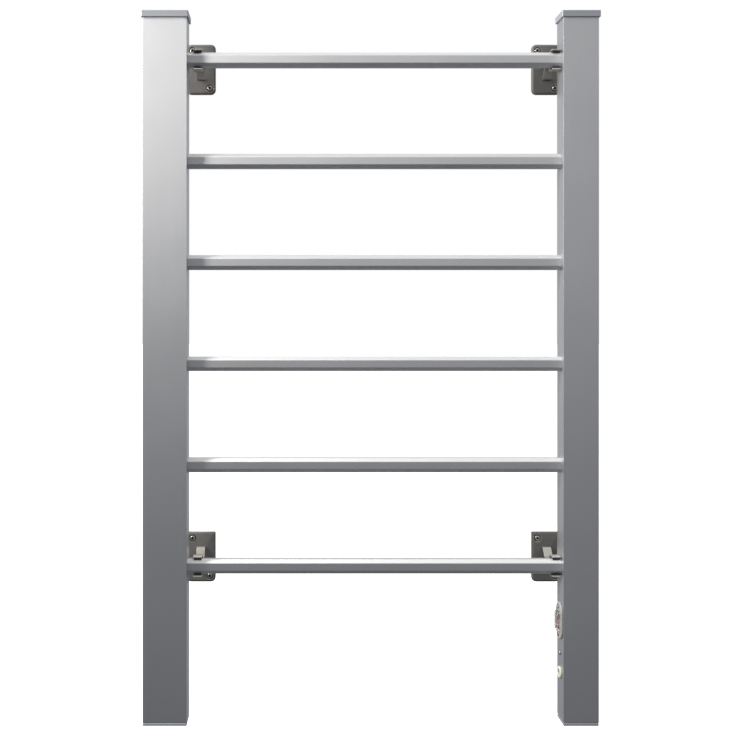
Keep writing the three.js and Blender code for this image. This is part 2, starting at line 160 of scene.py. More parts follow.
# Meshes
def loft(rings, closed=False):
    # skin over rings of equally many points; an open loft gets flat ends
    count = len(rings[0])
    points = [p for ring in rings for p in ring]
    faces = []
    for r in range(len(rings) if closed else len(rings) - 1):
        a = r * count
        b = (r + 1) % len(rings) * count
        for i in range(count):
            j = (i + 1) % count
            faces.append((a + i, a + j, b + j, b + i))
    if not closed:
        faces.append(tuple(range(count - 1, -1, -1)))
        faces.append(tuple(range(len(points) - count, len(points))))
    return points, faces


def turned(profile, sides=32):
    return loft([atHeight(circleLoop(r, sides), z) for r, z in profile])


def slab(outline, start, end):
    return loft([atHeight(outline, start), atHeight(outline, end)])


def shifted(shape, x, y):
    points, faces = shape
    return [(a + x, b + y, z) for a, b, z in points], faces


def meshObject(name, shape, place):
    points, faces = shape
    mesh = bpy.data.meshes.new(name)
    mesh.from_pydata([place @ Vector(p) for p in points], [], faces)
    thing = bpy.data.objects.new(name, mesh)
    bpy.context.scene.collection.objects.link(thing)
    # every shape is closed, so its signed volume says which way its faces point
    mesh.calc_loop_triangles()
    corners = [[mesh.vertices[i].co for i in t.vertices] for t in mesh.loop_triangles]
    if sum(a.dot(b.cross(c)) for a, b, c in corners) < 0:
        mesh.flip_normals()
    return thing


def applyModifiers(thing):
    graph = bpy.context.evaluated_depsgraph_get()
    old = thing.data
    thing.data = bpy.data.meshes.new_from_object(thing.evaluated_get(graph))
    thing.modifiers.clear()
    bpy.data.meshes.remove(old)


def cutAway(thing, tools):
    for tool in tools:
        modifier = thing.modifiers.new("cut", "BOOLEAN")
        modifier.operation = "DIFFERENCE"
        modifier.solver = "EXACT"
        modifier.object = tool
    applyModifiers(thing)
    for tool in tools:
        bpy.data.objects.remove(tool)


def soften(thing, width, segments=2, angle=32):
    # rounds every edge sharper than the angle, then keeps the flats flat
    if width:
        bevel = thing.modifiers.new("edges", "BEVEL")
        bevel.width = width * mm
        bevel.segments = segments
        bevel.limit_method = "ANGLE"
        bevel.angle_limit = math.radians(angle)
        bevel.harden_normals = False
    applyModifiers(thing)
    thing.data.shade_smooth()
    thing.data.set_sharp_from_angle(angle=math.radians(angle + 8))
    flats = thing.modifiers.new("flats", "WEIGHTED_NORMAL")
    flats.keep_sharp = True
    applyModifiers(thing)


def addPiece(thing, node, material, body="rack"):
    thing.data.materials.clear()
    thing.data.materials.append(material)
    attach(thing, body)
    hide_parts(node)


# Finishes
def addNode(tree, kind, settings=None, inputs=None):
    made = tree.nodes.new(kind)
    for key, value in (settings or {}).items():
        setattr(made, key, value)
    for key, value in (inputs or {}).items():
        if isinstance(value, bpy.types.NodeSocket):
            tree.links.new(value, made.inputs[key])
        else:
            made.inputs[key].default_value = value
    return made


def noiseField(tree, place, stretch, scale, detail=3.0, roughness=0.55):
    moved = addNode(tree, "ShaderNodeMapping", inputs={"Vector": place, "Scale": stretch})
    inputs = {"Vector": moved.outputs[0], "Scale": scale, "Detail": detail, "Roughness": roughness}
    return addNode(tree, "ShaderNodeTexNoise", inputs=inputs).outputs[0]


def spread(tree, value, low, high, start=0.3, end=0.7):
    inputs = {"Value": value, "From Min": start, "From Max": end, "To Min": low, "To Max": high}
    return addNode(tree, "ShaderNodeMapRange", inputs=inputs).outputs[0]


def maths(tree, operation, first, second):
    return addNode(tree, "ShaderNodeMath", {"operation": operation}, {0: first, 1: second}).outputs[0]


def mixColour(tree, share, first, second):
    made = addNode(tree, "ShaderNodeMix", {"data_type": "RGBA"}, {0: share})
    for index, value in ((6, first), (7, second)):
        if isinstance(value, bpy.types.NodeSocket):
            tree.links.new(value, made.inputs[index])
        else:
            made.inputs[index].default_value = (*value, 1)
    return made.outputs[2]


# A finish is a base colour with a cloudy second shade, a grain that runs along the piece or is even all over,
# and a worn colour on the outer edges.
mottle = {"shade": 0.25, "bend": (0.52, 0.58), "thinWear": 0.2, "roughness": 0.03, "height": 0.4}


def makeFinish(name, look):
    material = bpy.data.materials.new(name)
    material.use_nodes = True
    tree = material.node_tree
    shader = tree.nodes["Principled BSDF"]
    place = addNode(tree, "ShaderNodeTexCoord").outputs["Object"]
    cloud = noiseField(tree, place, (1, 1, 1), look.get("cloudScale", 18))
    grain = noiseField(tree, place, look["stretch"], look["grainScale"], 4.0, 0.65)
    colour = mixColour(tree, spread(tree, cloud, 0, 1), look["colour"], look["shade"])
    colour = mixColour(tree, spread(tree, grain, 0, mottle["shade"]), colour, look["shade"])
    bend = addNode(tree, "ShaderNodeNewGeometry").outputs["Pointiness"]
    outer = spread(tree, bend, 0, 1, *mottle["bend"])
    edge = maths(tree, "MULTIPLY", outer, spread(tree, cloud, mottle["thinWear"], 1))
    colour = mixColour(tree, maths(tree, "MULTIPLY", edge, look.get("wear", 0.4)), colour, look["worn"])
    tree.links.new(colour, shader.inputs["Base Color"])
    low, high = look["roughness"]
    patchy = spread(tree, cloud, -mottle["roughness"], mottle["roughness"])
    rough = maths(tree, "ADD", spread(tree, grain, low, high), patchy)
    tree.links.new(rough, shader.inputs["Roughness"])
    heightInputs = {0: cloud, 1: mottle["height"], 2: grain}
    height = addNode(tree, "ShaderNodeMath", {"operation": "MULTIPLY_ADD"}, heightInputs)
    bump = {"Strength": look["bump"], "Distance": look.get("depth", 0.0002), "Height": height.outputs[0]}
    normal = addNode(tree, "ShaderNodeBump", inputs=bump)
    tree.links.new(normal.outputs[0], shader.inputs["Normal"])
    shader.inputs["Metallic"].default_value = look.get("metallic", 0)
    if "brushed" in look:  # the sheen spreads across the brush lines
        across = addNode(tree, "ShaderNodeTangent", {"direction_type": "RADIAL", "axis": look["brushed"]})
        tree.links.new(across.outputs[0], shader.inputs["Tangent"])
    for socket, value in look.get("sockets", {}).items():
        shader.inputs[socket].default_value = value
    return material


aluminium = {
    "colour": (0.68, 0.69, 0.71), "shade": (0.62, 0.63, 0.655), "worn": (0.82, 0.83, 0.85),
    "grainScale": 1.0, "bump": 0.1, "depth": 0.00008, "metallic": 1.0, "wear": 0.5, "cloudScale": 9,
}
finishes = {
    "postAluminium": {
        **aluminium, "stretch": (800, 800, 8), "roughness": (0.51, 0.555), "brushed": "Z",
        "sockets": {"Anisotropic": 0.556},
    },
    "sideAluminium": {
        **aluminium, "stretch": (800, 800, 8), "roughness": (0.42, 0.47),
    },
    "railAluminium": {
        **aluminium, "stretch": (8, 800, 800), "roughness": (0.575, 0.615), "brushed": "X",
        "sockets": {"Anisotropic": 0.556, "Anisotropic Rotation": 0.25},
    },
    "capPlastic": {
        "colour": (0.48, 0.505, 0.56), "shade": (0.43, 0.45, 0.50), "worn": (0.62, 0.64, 0.68),
        "stretch": (1, 1, 1), "grainScale": 2200, "roughness": (0.42, 0.55), "bump": 0.15, "metallic": 0.35,
    },
    "plateCoat": {
        "colour": (0.180, 0.173, 0.164), "shade": (0.148, 0.142, 0.135), "worn": (0.33, 0.32, 0.30),
        "stretch": (1, 1, 1), "grainScale": 1500, "roughness": (0.48, 0.6), "bump": 0.3, "wear": 0.5,
    },
    "clipNickel": {
        "colour": (0.60, 0.58, 0.54), "shade": (0.50, 0.48, 0.45), "worn": (0.80, 0.78, 0.74),
        "stretch": (1800, 90, 90), "grainScale": 1, "roughness": (0.34, 0.48), "bump": 0.2, "metallic": 0.85,
        "wear": 0.6,
    },
    "linerRubber": {
        "colour": (0.018, 0.018, 0.02), "shade": (0.03, 0.03, 0.032), "worn": (0.06, 0.06, 0.062),
        "stretch": (1, 1, 1), "grainScale": 1800, "roughness": (0.62, 0.82), "bump": 0.4,
    },
    "screwNickel": {
        "colour": (0.66, 0.63, 0.56), "shade": (0.52, 0.49, 0.43), "worn": (0.85, 0.82, 0.74),
        "stretch": (1, 1, 1), "grainScale": 1300, "roughness": (0.22, 0.36), "bump": 0.12, "metallic": 1.0,
    },
    "elementSteel": {
        "colour": (0.40, 0.39, 0.38), "shade": (0.28, 0.26, 0.25), "worn": (0.6, 0.59, 0.58),
        "stretch": (30, 900, 900), "grainScale": 1, "roughness": (0.35, 0.55), "bump": 0.2, "metallic": 0.9,
    },
    "bezelPlastic": {
        "colour": (0.52, 0.515, 0.50), "shade": (0.46, 0.455, 0.44), "worn": (0.62, 0.61, 0.59),
        "stretch": (1, 1, 1), "grainScale": 1700, "roughness": (0.4, 0.55), "bump": 0.2,
    },
    "switchBlack": {
        "colour": (0.025, 0.025, 0.027), "shade": (0.04, 0.04, 0.042), "worn": (0.09, 0.09, 0.092),
        "stretch": (1, 1, 1), "grainScale": 1700, "roughness": (0.45, 0.6), "bump": 0.25,
    },
    "bootSilicone": {
        "colour": (0.66, 0.68, 0.67), "shade": (0.60, 0.62, 0.61), "worn": (0.74, 0.75, 0.74),
        "stretch": (1, 1, 1), "grainScale": 1200, "roughness": (0.12, 0.2), "bump": 0.08,
        "sockets": {"Transmission Weight": 0.92, "IOR": 1.41},
    },
    "rockerRed": {
        "colour": (0.42, 0.012, 0.02), "shade": (0.34, 0.01, 0.016), "worn": (0.55, 0.05, 0.06),
        "stretch": (1, 1, 1), "grainScale": 1600, "roughness": (0.28, 0.4), "bump": 0.12,
        "sockets": {"Coat Weight": 0.2},
    },
    "glandPlastic": {
        "colour": (0.82, 0.78, 0.69), "shade": (0.76, 0.72, 0.63), "worn": (0.88, 0.85, 0.78),
        "stretch": (1, 1, 1), "grainScale": 1700, "roughness": (0.4, 0.55), "bump": 0.2,
    },
    "cableJacket": {
        "colour": (0.66, 0.63, 0.57), "shade": (0.58, 0.55, 0.5), "worn": (0.7, 0.68, 0.63),
        "stretch": (1, 1, 1), "grainScale": 1400, "roughness": (0.5, 0.68), "bump": 0.25,
    },
}
materials = {name: makeFinish(name, look) for name, look in finishes.items()}
print("finishes made:", len(materials))


# Posts: rectangular tubes with crisp corners, opened where the rails and the fittings pass through.
post = {"corner": 0.2, "innerCorner": 0.15, "wall": 1.6, "rim": 0.35, "fit": 0.35, "switchFit": 0.8}
fittingHoles = {"cable_gland": 5.5, "bezel_screw_1": 1.7, "bezel_screw_2": 1.7, "terminal_screw": 1.7}
rail = {
    "height": 19, "depth": 15, "chamferUp": 4.5, "chamferIn": 4, "wall": 1.2, "rim": 0.3,
    "corner": 2.2, "cornerShare": 0.6,  # a corner grows or shrinks by this share of an offset
}


def railSection(offset):
    # the rail's eight corners, with every side moved outwards by the offset
    slope = math.hypot(rail["chamferUp"], rail["chamferIn"])
    x, y = rail["depth"] / 2 + offset, rail["height"] / 2 + offset
    flat = rail["depth"] / 2 - rail["chamferIn"] + offset * (slope - rail["chamferIn"]) / rail["chamferUp"]
    side = rail["height"] / 2 - rail["chamferUp"] + offset * (slope - rail["chamferUp"]) / rail["chamferIn"]
    return [(x, -side), (x, side), (flat, y), (-flat, y), (-x, side), (-x, -side), (-flat, -y), (flat, -y)]


def railAxis(number):
    return middleOf(*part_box(f"rail_{number}"))


def throughInnerFace(name, outline, height, half=5):
    # a tool for a hole in the right post's inner face
    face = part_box("post_right")[0]
    depth = middleOf(*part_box("post_right")).y
    return meshObject(name, slab(outline, -half, half), offPost((face.x, depth, height)))


def makePost(side):
    node = f"post_{side}"
    low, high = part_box(node)
    middle = middleOf(low, high)
    width, depth = (high.x - low.x) / mm, (high.y - low.y) / mm
    length, wall, rim = (high.z - low.z) / mm, post["wall"], post["rim"]

    def ring(inset, z):
        corner = max(post["corner"] - inset, post["innerCorner"])
        return atHeight(roundedLoop(rectangle(width - 2 * inset, depth - 2 * inset), corner, 8), z)

    rings = [
        ring(rim, 0), ring(rim * 0.3, rim * 0.3), ring(0, rim), ring(0, length - rim),
        ring(rim * 0.3, length - rim * 0.3), ring(rim, length), ring(wall, length), ring(wall, 0),
    ]
    tube = meshObject(f"post{side.title()}", loft(rings, closed=True), upright((middle.x, middle.y, low.z)))
    tools = []
    inner = high.x if side == "left" else low.x
    for number in range(1, 7):
        axis = railAxis(number)
        hole = slab(roundedLoop(railSection(post["fit"]), rail["corner"]), -4, 4)
        tools.append(meshObject(f"hole{number}", hole, acrossRack((inner, axis.y, axis.z))))
    if side == "right":
        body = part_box("switch_body")
        size = body[1] - body[0]
        opening = roundedLoop(rectangle(size.y / mm + post["switchFit"], size.z / mm + post["switchFit"]), 1)
        tools.append(throughInnerFace("switchHole", opening, middleOf(*body).z))
        for fitting, radius in fittingHoles.items():
            height = middleOf(*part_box(fitting)).z
            tools.append(throughInnerFace(fitting + "Hole", circleLoop(radius), height))
    cutAway(tube, tools)
    soften(tube, 0, angle=30)
    addPiece(tube, node, materials["postAluminium"])
    tube.data.materials.append(materials["sideAluminium"])  # smoother than the brushed front and back
    for face in tube.data.polygons:
        if abs(face.normal.x) > 0.9:  # the faces that look left or right
            face.material_index = 1


for side in ("left", "right"):
    makePost(side)
print("posts made")


# Caps: the top ones come down over the posts in a short skirt, the bottom ones sit flush on a groove.
topCap = {"overhang": 2, "corner": 1.2, "edge": 1.1, "skirt": 2.4, "groove": -gap, "spigot": 14}
bottomCap = {"overhang": 0, "corner": 0.8, "edge": 0.6, "skirt": 0, "groove": 0.5, "spigot": 12}
anyCap = {"crown": 0.12, "flatFrom": 4, "lead": 0.4, "lip": 0.3, "step": 0.5}


def makeCap(node, cap, up):
    low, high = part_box(node)
    middle = middleOf(low, high)
    width, depth = (high.x - low.x) / mm, (high.y - low.y) / mm
    height = (high.z - low.z) / mm - cap["spigot"]
    plug = cap["overhang"] + post["wall"] + gap  # inset of the spigot that fits inside the post

    def ring(inset, z):
        corner = max(cap["corner"] - inset, leastCorner)
        return atHeight(roundedLoop(rectangle(width - 2 * inset, depth - 2 * inset), corner, 8), z)

    edge, neck, lead, lip = cap["edge"], cap["overhang"] + cap["groove"], anyCap["lead"], anyCap["lip"]
    rim = anyCap["step"] - cap["skirt"]  # where the cap's outer wall begins
    rings = [ring(plug + lead, -cap["spigot"]), ring(plug, lead - cap["spigot"]), ring(plug, 0)]
    rings += [ring(neck, 0), ring(neck, rim), ring(lip, rim), ring(0, rim + lip)]
    rings += [ring(inwards, height - edge + rise) for inwards, rise in roundOver(edge, 5)]
    rings.append(ring(edge + anyCap["flatFrom"], height + anyCap["crown"]))  # very slightly domed
    if up:
        place = upright((middle.x, middle.y, high.z - height * mm))
    else:
        place = placeAt((middle.x, middle.y, low.z + height * mm), (1, 0, 0), (0, -1, 0))
    words = node.split("_")
    body = meshObject(words[0] + words[1].title() + words[2].title(), loft(rings), place)
    soften(body, 0, angle=30)
    addPiece(body, node, materials["capPlastic"])


for side in ("left", "right"):
    makeCap(f"top_cap_{side}", topCap, True)
    makeCap(f"bottom_cap_{side}", bottomCap, False)
print("caps made")


# Rails: chamfered tubes whose ends sit inside the posts.
def makeRail(number):
    low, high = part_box(f"rail_{number}")
    axis = middleOf(low, high)
    half, rim = (high.x - low.x) / mm / 2, rail["rim"]

    def ring(offset, x):
        corner = max(rail["corner"] + offset * rail["cornerShare"], leastCorner)
        return atHeight(roundedLoop(railSection(offset), corner, 5), x)

    rings = [
        ring(-rim, -half), ring(0, rim - half), ring(0, half - rim), ring(-rim, half),
        ring(-rail["wall"], half), ring(-rail["wall"], -half),
    ]
    tube = meshObject(f"rail{number}", loft(rings, closed=True), acrossRack(axis))
    soften(tube, 0, angle=30)
    addPiece(tube, f"rail_{number}", materials["railAluminium"])


for number in range(1, 7):
    makeRail(number)
print("rails made")


# Brackets: a wall plate, two bent strips that close round the rail, and rubber between them.
plate = {"corner": 6.5, "square": 1.2, "bevel": 2.4, "bevelDepth": 1.8, "soft": 0.3, "softEdge": 0.18}
wallScrew = {"x": 11.5, "y": 25, "bore": 2.6, "sink": 4.8, "sinkDepth": 1.9, "flare": 5.6}
strip = {
    "width": 11.2, "thickness": 1.8, "bend": 3.0, "tip": 6, "neck": 2.7, "neckStart": 15, "neckEnd": 32,
    "root": 13.7, "slotFit": 0.6, "linerGap": 0.4, "softEdge": 0.4,
}
liner = {"thickness": 1.8, "wrap": 1.7, "width": 9.4, "bend": 1.6, "softEdge": 0.35}
clampScrew = {"at": 23, "bore": 2.3}


def stripLoop(points, thickness, bend):
    # outline of a strip of even thickness along a bent centreline
    points = [Vector(p) for p in points]
    line = [points[0]]
    for before, corner, after in zip(points, points[1:], points[2:]):
        reach = min(bend, 0.45 * min((before - corner).length, (after - corner).length))
        start = corner + (before - corner).normalized() * reach
        end = corner + (after - corner).normalized() * reach
        for k in range(7):
            t = k / 6
            line.append(start * (1 - t) ** 2 + corner * 2 * t * (1 - t) + end * t ** 2)
    line.append(points[-1])
    left, right = [], []
    for i, point in enumerate(line):
        along = (line[min(i + 1, len(line) - 1)] - line[max(i - 1, 0)]).normalized()
        across = Vector((-along.y, along.x)) * thickness / 2
        left.append(tuple(point - across))
        right.append(tuple(point + across))
    return left + right[::-1]


def sectionCorner(offset):
    # both ends of the rail's upper chamfer nearest the wall
    corners = railSection(offset)
    return Vector(corners[2]), Vector(corners[1])


def makePlate(corner, axis, wall):
    node = f"wall_plate_{corner}"
    low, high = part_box(node)
    width, height, thickness = (high.x - low.x) / mm, (high.z - low.z) / mm, (high.y - low.y) / mm
    upper = plate["square"] if "bottom" in corner else plate["corner"]
    radii = [plate["corner"], plate["corner"], upper, upper]
    bevel, base, soft = plate["bevel"], thickness - plate["bevelDepth"], plate["soft"]

    def ring(inset, z):
        corners = [max(radius - inset, leastCorner) for radius in radii]
        return atHeight(roundedLoop(rectangle(width - 2 * inset, height - 2 * inset), corners, 7), z)

    rings = [
        ring(0.3, 0), ring(0, 0.3), ring(0, base - soft), ring(0.08, base), ring(0.3, base + soft * 0.8),
        ring(bevel - 0.4, thickness - 0.25), ring(bevel - 0.1, thickness - 0.05),
        ring(bevel + 0.3, thickness),
    ]
    place = facingFront((axis.x, wall, axis.z))
    body = meshObject("wallPlate" + nameOf(corner), loft(rings), place)
    tools = []
    drill = [
        (wallScrew["bore"], -2), (wallScrew["bore"], thickness - wallScrew["sinkDepth"]),
        (wallScrew["sink"], thickness - wallScrew["sinkDepth"]), (wallScrew["sink"], thickness - 0.6),
        (wallScrew["flare"] + 0.4, thickness + 0.4), (wallScrew["flare"] + 0.4, thickness + 3),
    ]
    fit = strip["slotFit"]
    slot = roundedLoop(rectangle(strip["width"] + fit, strip["thickness"] + fit), 0.5)
    for s in (-1, 1):
        hole = shifted(turned(drill, 36), s * wallScrew["x"], -s * wallScrew["y"])
        tools.append(meshObject("drill", hole, place))
        tools.append(meshObject("slot", shifted(slab(slot, -2, 8), 0, s * strip["root"]), place))
    cutAway(body, tools)
    soften(body, plate["softEdge"], 2, 50)
    addPiece(body, node, materials["plateCoat"])
    nickelRims(body, place)


def nickelRims(body, place):
    # the countersink rims take the bright nickel finish, lighter than the plate's coat
    body.data.materials.append(materials["screwNickel"])
    toPlate = place.inverted()
    for face in body.data.polygons:
        spot = toPlate @ face.center
        for s in (-1, 1):
            reach = math.hypot(spot.x - s * wallScrew["x"], spot.y + s * wallScrew["y"])
            if wallScrew["sink"] - 0.1 < reach < wallScrew["flare"] + 0.5 and abs(face.normal.y) < 0.97:
                face.material_index = 1


def nameOf(corner):
    return "".join(word.title() for word in corner.split("_"))


def makeStrip(corner, kind, axis, wall):
    s = 1 if kind == "upper" else -1
    reach = (wall - axis.y) / mm
    flat, side = sectionCorner(gap + liner["thickness"] + strip["linerGap"] + strip["thickness"] / 2)
    route = [
        (-strip["tip"], flat.y - 1.1), (2.4 - strip["tip"], flat.y), (flat.x, flat.y), (side.x, side.y),
        (strip["neckStart"], strip["neck"]), (strip["neckEnd"], strip["neck"]),
        (reach - 6.5, strip["root"]), (reach - 0.3, strip["root"]),
    ]
    outline = stripLoop([(x, s * y) for x, y in route], strip["thickness"], strip["bend"])
    half = strip["width"] / 2
    body = meshObject(f"clip{kind.title()}{nameOf(corner)}", slab(outline, -half, half), acrossRack(axis))
    drill = upright(axis + Vector((0, clampScrew["at"] * mm, 0)))
    cutAway(body, [meshObject("drill", slab(circleLoop(clampScrew["bore"]), -12, 12), drill)])
    soften(body, strip["softEdge"], 3, 40)
    addPiece(body, f"clip_{kind}_{corner}", materials["clipNickel"])


def makeLiner(corner, axis):
    flat, side = sectionCorner(gap + liner["thickness"] / 2)
    down = flat + (side - flat).normalized() * liner["wrap"]
    route = [
        (-down.x, down.y), (-flat.x, flat.y), tuple(flat), tuple(side),
        (side.x, -side.y), (flat.x, -flat.y), (-flat.x, -flat.y), (-down.x, -down.y),
    ]
    outline = stripLoop(route, liner["thickness"], liner["bend"])
    half = liner["width"] / 2
    body = meshObject(f"rubberLiner{nameOf(corner)}", slab(outline, -half, half), acrossRack(axis))
    soften(body, liner["softEdge"], 2, 40)
    addPiece(body, f"rubber_liner_{corner}", materials["linerRubber"])


thread = {"pitch": 0.5, "core": 0.84, "tip": 0.7, "plain": 1.2, "softEdge": 0.08}


def makeScrew(name, node, place, screw):
    # a domed head with a socket; the shank below it carries thread ridges
    head, height, shank, length = screw["head"], screw["headHeight"], screw["shank"], screw["length"]
    pitch = thread["pitch"]
    z = pitch - length
    profile = [(shank * thread["tip"], -length), (shank, z)]
    while z < -thread["plain"]:
        profile += [(shank * thread["core"], z + pitch / 2), (shank, z + pitch)]
        z += pitch
    straight, inset = 0.45 * height, 0.36 * head  # the side below the dome, and how far the dome comes in
    profile += [(shank, 0), (head - 0.2, 0), (head, 0.2), (head, straight)]
    for inwards, rise in roundOver(1, 6, 1):
        profile.append((head - inset * inwards, straight + (height - straight) * rise))
    body = meshObject(name, turned(profile, 32), place)
    key = [(screw["socket"], height + 2), (screw["socket"], 0), (screw["socket"] * 0.3, -0.4)]
    cutAway(body, [meshObject("key", turned(key[::-1], screw["sides"]), place)])
    soften(body, thread["softEdge"], 2, 40)
    addPiece(body, node, materials["screwNickel"])
    body.data.materials.append(materials["switchBlack"])  # painted shade: the socket's faces take the black finish to stand for the shade inside the recess
    toScrew = place.inverted()
    for face in body.data.polygons:
        # faces inside the socket get the black finish as painted shade
        spot = toScrew @ face.center
        if math.hypot(spot.x, spot.y) < screw["socket"] * 0.95 and spot.z < height * 0.8:
            face.material_index = 1


wallScrewShape = {"head": 3.4, "headHeight": 2.4, "shank": 2.3, "length": 1.9, "socket": 1.8, "sides": 6}
clampScrewShape = {"head": 3.6, "headHeight": 1.7, "shank": 2.0, "length": 9.8, "socket": 1.5, "sides": 6}


def makeBracket(corner):
    rung = 1 if "top" in corner else 6
    low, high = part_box(f"wall_plate_{corner}")
    axis = Vector(((low.x + high.x) / 2, railAxis(rung).y, railAxis(rung).z))
    makePlate(corner, axis, high.y)
    makeLiner(corner, axis)
    makeStrip(corner, "upper", axis, high.y)
    makeStrip(corner, "lower", axis, high.y)
    stripTop = strip["neck"] + strip["thickness"] / 2 + gap
    place = upright(axis + Vector((0, clampScrew["at"] * mm, stripTop * mm)))
    makeScrew(f"clampScrew{nameOf(corner)}", f"clamp_screw_{corner}", place, clampScrewShape)
    for number in (1, 2):
        node = f"wall_screw_{corner}_{number}"
        middle = middleOf(*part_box(node))
        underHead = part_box(node)[0].y + wallScrewShape["headHeight"] * mm
        place = facingFront((middle.x, underHead, middle.z))
        makeScrew(f"wallScrew{nameOf(corner)}{number}", node, place, wallScrewShape)


for corner in ("top_left", "top_right", "bottom_left", "bottom_right"):
    makeBracket(corner)
print("brackets made")


# Switch: an oblong bezel with a clear boot over the red rocker, which tips about a pin inside the post.
bezel = {"width": 25, "length": 47, "thickness": 2.2, "edge": 1.1, "opening": (12.4, 19.4), "softEdge": 0.15}
boot = {"width": 18, "length": 26, "rise": 3.5, "wall": 0.8, "corner": 3, "lean": 1.6}
rocker = {
    "width": 11, "half": 8, "rise": 3.3, "edge": 4, "pivotDepth": 1.5, "restTilt": 9, "dish": 0.45,
    "pin": 1, "pinReach": 0.8, "softEdge": 0.12,
}
grip = {"grooves": 5, "pitch": 0.9, "radius": 0.22, "start": 1.5, "margin": 1, "lift": 0.08}
panelScrew = {"head": 2.5, "headHeight": 1.4, "shank": 1.4, "length": 9, "socket": 0.9, "sides": 6}
gland = {"flange": 7.5, "body": 5.2, "bore": 4, "length": 12, "rise": 2.6}
notches = {"count": 12, "radius": 0.85, "ring": 1.045, "from": 0.9}
onBezel = gap + bezel["thickness"] + gap  # from the post's face to the fittings on the bezel
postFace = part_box("post_right")[0].x
postDepthLine = middleOf(*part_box("post_right")).y


def onPost(node, out=0.0):
    # the place on the post's inner face behind a fitting
    return offPost((postFace - out * mm, postDepthLine, middleOf(*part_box(node)).z))


def oblong(width, length, steps=16):
    straight = (length - width) / 2
    loop = []
    for start, y in ((0, straight), (math.pi, -straight)):
        for k in range(steps + 1):
            angle = start + math.pi * k / steps
            loop.append((width / 2 * math.cos(angle), y + width / 2 * math.sin(angle)))
    return loop


def makeBezel():
    thickness, edge = bezel["thickness"], bezel["edge"]

    def ring(inset, z):
        return atHeight(oblong(bezel["width"] - 2 * inset, bezel["length"] - 2 * inset), z)

    rings = [ring(0.3, 0), ring(0, 0.3)]
    rings += [ring(inwards, thickness - edge + rise) for inwards, rise in roundOver(edge, 6)]
    body = meshObject("switchBezel", loft(rings), onPost("switch_bezel", gap))
    opening = slab(roundedLoop(rectangle(*bezel["opening"]), 1), -3, 5)
    tools = [meshObject("opening", opening, onPost("switch_bezel"))]
    for node in ("bezel_screw_1", "bezel_screw_2"):
        tools.append(meshObject("drill", slab(circleLoop(fittingHoles[node]), -3, 5), onPost(node)))
    cutAway(body, tools)
    soften(body, bezel["softEdge"], 2, 40)
    addPiece(body, "switch_bezel", materials["bezelPlastic"])


def makeBoot():
    # one skin that runs from the middle of the ceiling down the inside, then up and over the outside
    rise, wall, lean = boot["rise"], boot["wall"], boot["lean"]

    def ring(inset, z):
        corner = max(boot["corner"] - inset * 0.5, 0.6)
        outline = rectangle(boot["width"] - 2 * inset, boot["length"] - 2 * inset)
        return atHeight(roundedLoop(outline, corner, 8), z)

    inner = [ring(wall + 2.6, rise - wall - 0.3), ring(wall + lean, rise - wall - 0.5)]
    inner += [ring(wall + lean * 0.6, 1.2), ring(wall + 0.2, 0)]
    outer = [ring(0, 0), ring(0, 0.7), ring(0.35, 1.0), ring(0.6, 1.2), ring(lean * 0.8, rise - 0.9)]
    outer += [ring(lean + 1.1 * inwards, rise - 0.9 + 0.78 * up) for inwards, up in roundOver(1, 5, 1)]
    outer.append(ring(4.4, rise - 0.02))
    body = meshObject("switchBoot", loft(inner + outer), onPost("switch_bezel", onBezel))
    soften(body, 0, angle=35)
    addPiece(body, "switch_boot", materials["bootSilicone"])


def makeRocker():
    half, edge, deep, dish = rocker["half"], rocker["edge"], rocker["pivotDepth"], rocker["dish"]
    hollow = rocker["rise"] + deep  # the middle of the key lies lower than its ends by the dish
    profile = [
        (-half, edge + deep), (-half + 0.7, 0.6), (-2.4, -2.2), (2.4, -2.2), (half - 0.7, 0.6),
        (half, edge + deep), (half - 2, hollow + dish), (0, hollow), (-half + 2, hollow + dish),
    ]
    outline = roundedLoop(profile[::-1], 0.5, 4)
    wide = rocker["width"] / 2
    pivot = onPost("switch_bezel", -deep) @ Matrix.Rotation(math.radians(rocker["restTilt"]), 4, "X")
    # drawn from the side: the profile runs along the switch, its thickness across it
    side = pivot @ Matrix(((0, 0, 1, 0), (1, 0, 0, 0), (0, 1, 0, 0), (0, 0, 0, 1)))
    body = meshObject("switchRocker", slab(outline, -wide, wide), side)
    reach = wide + rocker["pinReach"]
    pins = meshObject("pins", slab(circleLoop(rocker["pin"], 20), -reach, reach), side)
    join = body.modifiers.new("pins", "BOOLEAN")
    join.operation = "UNION"
    join.solver = "EXACT"
    join.object = pins
    applyModifiers(body)
    bpy.data.objects.remove(pins)
    # grip grooves across both ends of the key
    tools = []
    for s in (-1, 1):
        for k in range(grip["grooves"]):
            along = s * (half - grip["start"] - k * grip["pitch"])
            level = hollow + dish - max(0, half - 2 - abs(along)) * dish / (half - 2)
            groove = slab(circleLoop(grip["radius"], 8), grip["margin"] - wide, wide - grip["margin"])
            tools.append(meshObject("groove", shifted(groove, along, level + grip["lift"]), side))
    cutAway(body, tools)
    soften(body, rocker["softEdge"], 2, 40)
    addPiece(body, "switch_rocker", materials["rockerRed"], "rocker")


